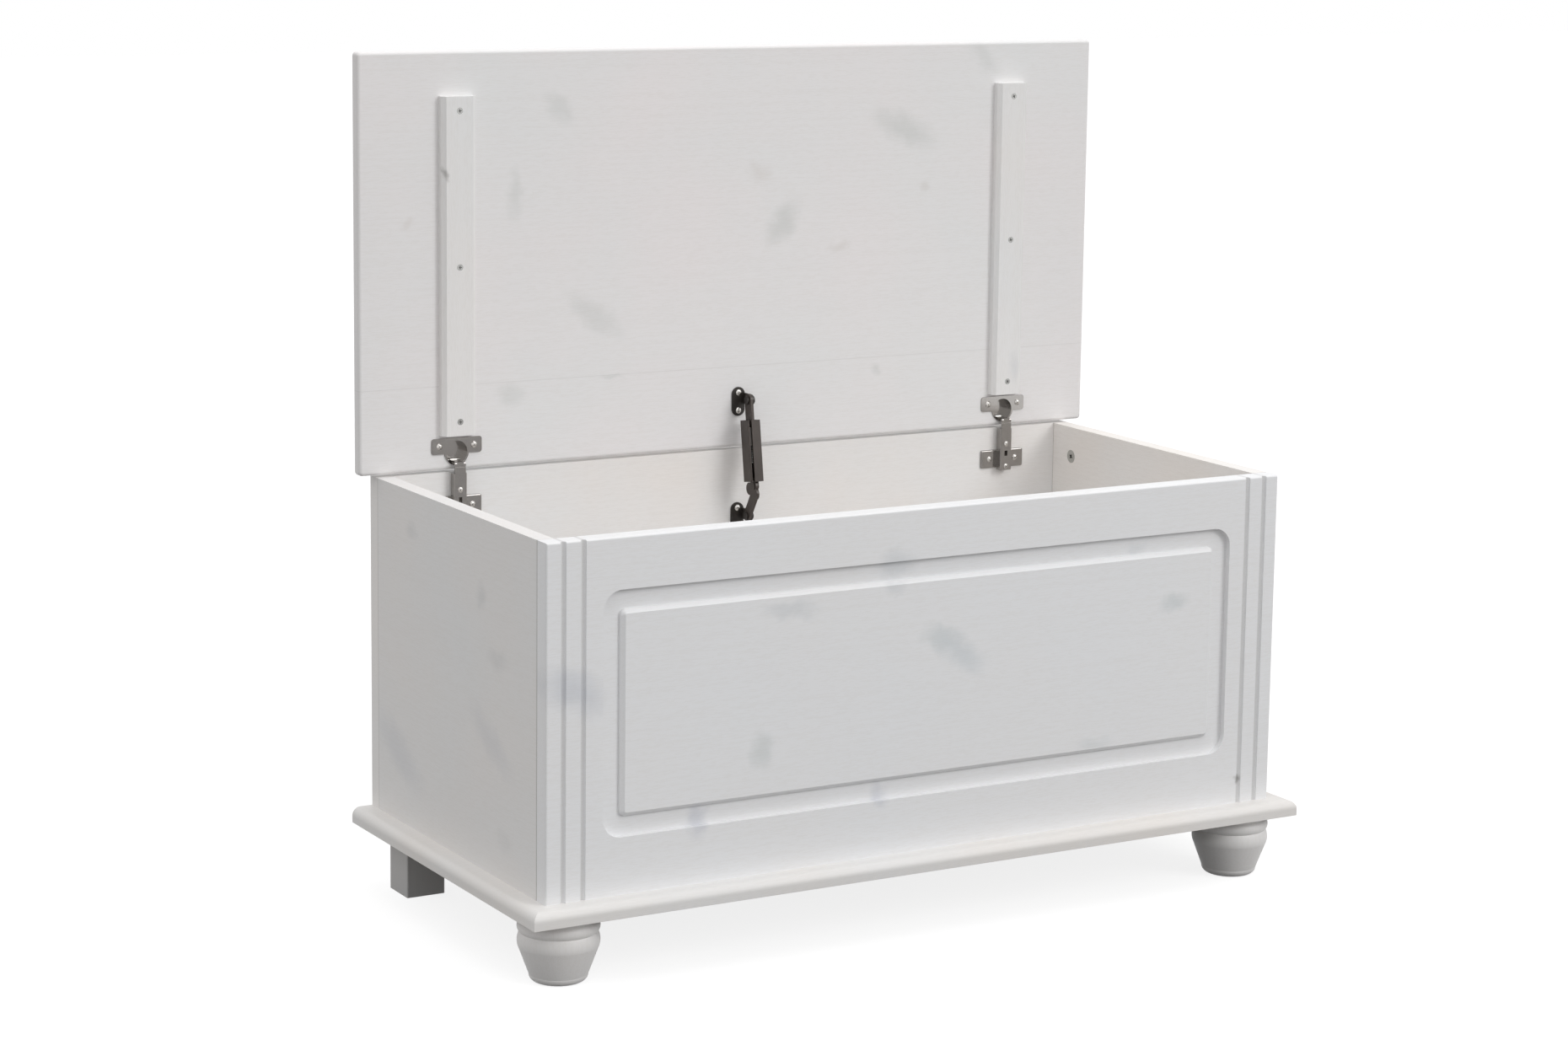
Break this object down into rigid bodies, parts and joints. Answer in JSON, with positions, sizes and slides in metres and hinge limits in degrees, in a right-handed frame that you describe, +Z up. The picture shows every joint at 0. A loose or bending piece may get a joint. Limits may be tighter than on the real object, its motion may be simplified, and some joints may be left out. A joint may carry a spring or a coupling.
{
  "type": "blanket chest",
  "caption": "Low glazed-pine blanket chest with bun feet, a fielded front panel and a flat lid standing open on cup hinges with a sprung lid stay.",
  "frame": {"origin": "on the floor, under the middle of the chest with its lid open", "axes": "+Z up, the front panel faces -Y, +X to the right seen from the front"},
  "size_m": [0.916, 0.441, 0.8845],
  "materials": {
    "glazed_pine": "satin white glaze",
    "nickel": "nickel plated",
    "zinc": "zinc plated",
    "bronzed_steel": "bronze-brown lacquer",
    "beech": "bare",
    "nylon": "matt"
  },
  "bodies": {
    "case": {"front_panel": "glazed_pine", "left_side_panel": "glazed_pine", "right_side_panel": "glazed_pine", "back_panel": "glazed_pine", "base_board": "glazed_pine", "front_left_foot": "glazed_pine", "front_right_foot": "glazed_pine", "rear_left_block": "glazed_pine", "rear_right_block": "glazed_pine", "front_foot_screws": "zinc", "rear_block_screws": "zinc", "base_screws": "zinc", "cam_locks": "zinc", "cam_bolts": "zinc", "corner_dowels": "beech", "left_hinge_arm": "nickel", "right_hinge_arm": "nickel", "left_hinge_plate": "nickel", "right_hinge_plate": "nickel", "hinge_plate_screws": "nickel", "hinge_arm_screws": "nickel", "stay_case_bracket": "bronzed_steel", "stay_case_rivet": "bronzed_steel", "stay_case_screws": "nickel"},
    "lid": {"lid_panel": "glazed_pine", "left_lid_batten": "glazed_pine", "right_lid_batten": "glazed_pine", "batten_screws": "zinc", "left_hinge_cup": "nickel", "right_hinge_cup": "nickel", "hinge_pins": "nickel", "hinge_cup_screws": "nickel", "stay_lid_bracket": "bronzed_steel", "stay_lid_rivet": "bronzed_steel", "stay_lid_screws": "nickel"},
    "stay_lower_arm": {"stay_lower_arm": "bronzed_steel"},
    "stay_sleeve": {"stay_sleeve": "bronzed_steel", "stay_knee_rivet": "bronzed_steel", "stay_spring": "zinc", "stay_spring_seat": "bronzed_steel"},
    "stay_upper_arm": {"stay_upper_arm": "bronzed_steel", "stay_guides": "nylon"}
  },
  "joints": [
    {"name": "lid_hinge", "type": "hinge", "parent": "case", "child": "lid", "pos_m": [0, 0.2115, 0.4525], "axis": [1, 0, 0], "range_deg": [0, 90]},
    {"name": "stay_case_pivot", "type": "hinge", "parent": "case", "child": "stay_lower_arm", "pos_m": [-0.0005, 0.1845, 0.3685], "axis": [1, 0, 0], "range_deg": [0, 107]},
    {"name": "stay_knee", "type": "hinge", "parent": "stay_lower_arm", "child": "stay_sleeve", "pos_m": [-0.0005, 0.17057, 0.40386], "axis": [1, 0, 0], "range_deg": [-107, 0]},
    {"name": "stay_slide", "type": "slide", "parent": "stay_sleeve", "child": "stay_upper_arm", "axis": [0, -0.1471, -0.9891], "range_m": [0, 0.0132], "deforming": ["stay_spring"]}
  ],
  "couplings": [
    {"joint": "stay_case_pivot", "follows": "lid_hinge", "ratio": 1.1871},
    {"joint": "stay_knee", "follows": "lid_hinge", "ratio": -1.1871},
    {"joint": "stay_slide", "follows": "lid_hinge", "m_per_rad": 0.008324}
  ]
}
